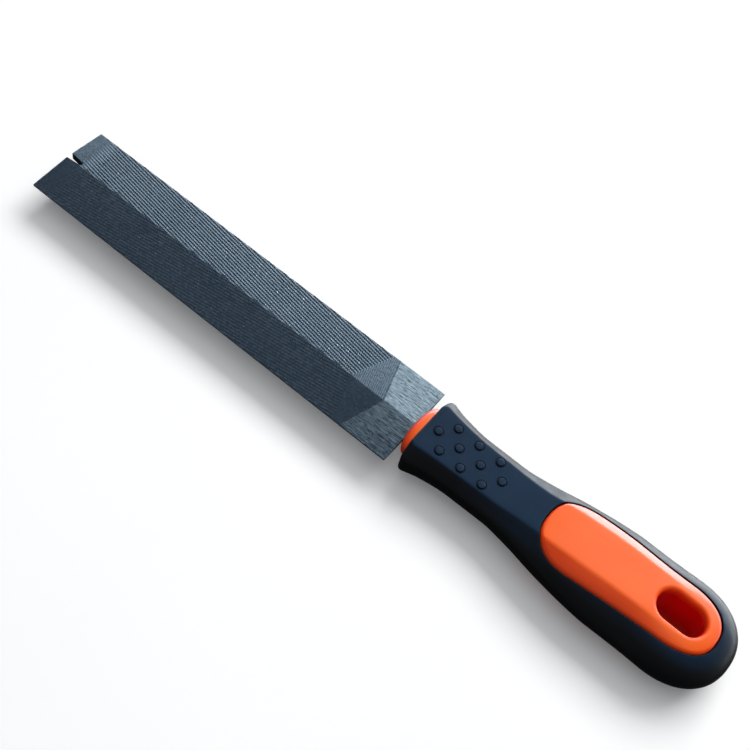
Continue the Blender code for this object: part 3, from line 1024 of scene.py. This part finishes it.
def mark_hole_shade(mesh):
    """Point attribute for the hole's painted shade: 0 on the outside, growing to 1 down the wall of the
    hole.
    """
    layer = mesh.attributes.new("depth", "FLOAT", "POINT")
    for i, vert in enumerate(mesh.vertices):
        x, y, z = vert.co - HEEL
        past_end = max(HOLE_START - x, x - HOLE_STOP, 0)
        on_wall = math.hypot(past_end, y) < HOLE_RADIUS + HOLE_TOLERANCE
        below = surface_height(x, y) - abs(z)
        layer.data[i].value = smoothstep((below - HOLE_SHADE_START) / HOLE_SHADE_SPAN) if on_wall else 0.0


def make_core():
    plug = through_tool(
        "inlay_plug", window_loop(), grow=-SEAM, radius=INLAY_EDGE, turn=INWARDS, last_angle=72
    )
    inlay = boolean(handle_solid("inlay"), "INTERSECT", plug)
    hole = through_tool(
        "hole",
        hole_loop(),
        grow=0,
        radius=LIP_RADIUS,
        turn=OUTWARDS,
        last_angle=80,
        radius_below=LIP_RADIUS_BELOW,
    )
    inlay = boolean(inlay, "DIFFERENCE", hole)
    turns = [math.cos(math.pi / 2 * (i + NOSE_OPENING) / NOSE_STATIONS) for i in range(NOSE_STATIONS)]
    stations = [GRIP_START - turn * (GRIP_START - NOSE_TIP) for turn in turns] + [GRIP_START + NOSE_ROOT]
    nose = boolean(loft("nose", [nose_ring(x) for x in stations]), "DIFFERENCE", blade_room())
    core = place("handle_core_smooth", [inlay, nose])
    core.data.materials.append(orange_plastic())
    smooth(core, sharp_angle=40)
    # Marks where the hole's painted shade goes
    mark_hole_shade(core.data)
    return core


# ---------------------------------------------------------------- studio

WARM = (1.0, 0.985, 0.965)
COOL = (0.90, 0.96, 1.0)
COLD = (0.80, 0.91, 1.0)

FLOOR_RADIUS = 6
FLOOR_SIDES = 96

# Colour of the room round the object, from straight below (0) to straight up (1)
SURROUND = (
    (0.0, (0.04, 0.04, 0.04)),
    (0.3, (0.14, 0.14, 0.14)),
    (0.45, (0.42, 0.42, 0.42)),
    (0.5, (0.55, 0.56, 0.58)),
    (0.6, (0.40, 0.42, 0.44)),
    (0.71, (0.15, 0.18, 0.22)),
    (1.0, (0.11, 0.15, 0.20)),
)

CAMERA_PLACE = (0.0831, -0.1756, 0.3387)
CAMERA_ANGLES = (30.594, -7.925, 38.659)
CAMERA_LENS = 58.73
CAMERA_SENSOR = 36


def direction(azimuth, elevation):
    """Unit vector; azimuth 0 is +Y and grows towards +X."""
    a, e = math.radians(azimuth), math.radians(elevation)
    return Vector((math.sin(a) * math.cos(e), math.cos(a) * math.cos(e), math.sin(e)))


def softbox(name, aim, distance, width, height, radiance, colour, seen_by, shift=(0, 0, 0)):
    """A rectangular light that faces the object; seen_by is the kind of surface that takes it."""
    light = bpy.data.lights.new(name, "AREA")
    light.shape = "RECTANGLE"
    light.size = width
    light.size_y = height
    light.energy = radiance * math.pi * width * height
    light.color = colour
    obj = linked(name, light)
    obj.location = aim * distance + Vector(shift)
    obj.rotation_euler = aim.to_track_quat("Z", "Y").to_euler()
    obj.visible_camera = False
    obj.visible_diffuse = seen_by == "matt"
    obj.visible_glossy = seen_by == "glossy"


def make_lights():
    """Matt lights set shade and shadow, glossy ones the reflections, so each can have its own strength."""
    softbox(
        "key_low", direction(8, 49), distance=1.6, width=1.3, height=0.83,
        radiance=7.1, colour=WARM, seen_by="matt",
    )
    softbox(
        "key_high", direction(0, 89), distance=1.6, width=1.3, height=1.5,
        radiance=1.35, colour=WARM, seen_by="matt",
    )
    softbox(
        "fill", direction(185, 38), distance=2.0, width=2.2, height=1.6,
        radiance=0.35, colour=WARM, seen_by="matt",
    )
    softbox(
        "low_strip", direction(0, 7), distance=1.3, width=2.4, height=0.3,
        radiance=12.5, colour=COOL, seen_by="glossy",
    )
    softbox(
        "blade_strip", direction(0, 35), distance=1.2, width=2.4, height=0.46,
        radiance=1.8, colour=COLD, seen_by="glossy", shift=(-0.5, 0, 0),
    )
    # Lies on the floor behind the file and stands in for the bright floor there
    softbox(
        "floor_card", Vector((0, 0, -1)), distance=0, width=0.6, height=0.3,
        radiance=7.0, colour=COOL, seen_by="glossy", shift=(0.05, 0.19, 0.0004),
    )


def make_floor():
    """A wide disc that the object's own shade and reflections don't see; the surround stands in for it."""
    disc = bmesh.new()
    bmesh.ops.create_circle(disc, cap_ends=True, segments=FLOOR_SIDES, radius=FLOOR_RADIUS)
    mesh = written(disc, bpy.data.meshes.new("studio_floor"))
    mesh.materials.append(floor_paint())
    floor = linked("studio_floor", mesh)
    floor.visible_diffuse = False
    floor.visible_glossy = False


def make_world():
    """White for the camera; for the object a dim room, darker towards -Y."""
    world = bpy.data.worlds.new("studio")
    bpy.context.scene.world = world
    world.use_nodes = True
    world.node_tree.nodes.clear()
    g = Graph(world)
    towards = g.add("ShaderNodeSeparateXYZ")
    g.link(g.add("ShaderNodeTexCoord").outputs["Generated"], towards.inputs[0])
    by_height = g.ramp(g.spread(towards.outputs["Z"], -1, 1, 0, 1), SURROUND)
    by_side = g.spread(towards.outputs["Y"], -0.6, 0.6, 0.3, 1.0)
    room = g.mix(1.0, by_height, by_side, "MULTIPLY")
    is_camera_ray = g.add("ShaderNodeLightPath").outputs["Is Camera Ray"]
    background = g.add("ShaderNodeBackground")
    background.inputs["Strength"].default_value = 1.0
    g.link(g.mix(is_camera_ray, room, (*WHITE, 1)), background.inputs["Color"])
    output = g.add("ShaderNodeOutputWorld")
    g.link(background.outputs["Background"], output.inputs["Surface"])


def make_camera():
    data = bpy.data.cameras.new("camera")
    data.sensor_width = CAMERA_SENSOR
    data.lens = CAMERA_LENS
    camera = linked("camera", data)
    camera.location = CAMERA_PLACE
    camera.rotation_euler = Euler([math.radians(angle) for angle in CAMERA_ANGLES])
    bpy.context.scene.camera = camera


def main():
    bpy.context.scene.view_settings.view_transform = "Standard"
    make_world()
    make_floor()
    make_lights()
    make_camera()
    for piece, node, slot in (
        (make_blade(), "file_blade", "steel"),
        (make_core(), "handle_core", "core_plastic"),
        (make_grip(), "grip_overmould", "grip_rubber"),
    ):
        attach(piece, "root")
        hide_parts(node)


main()
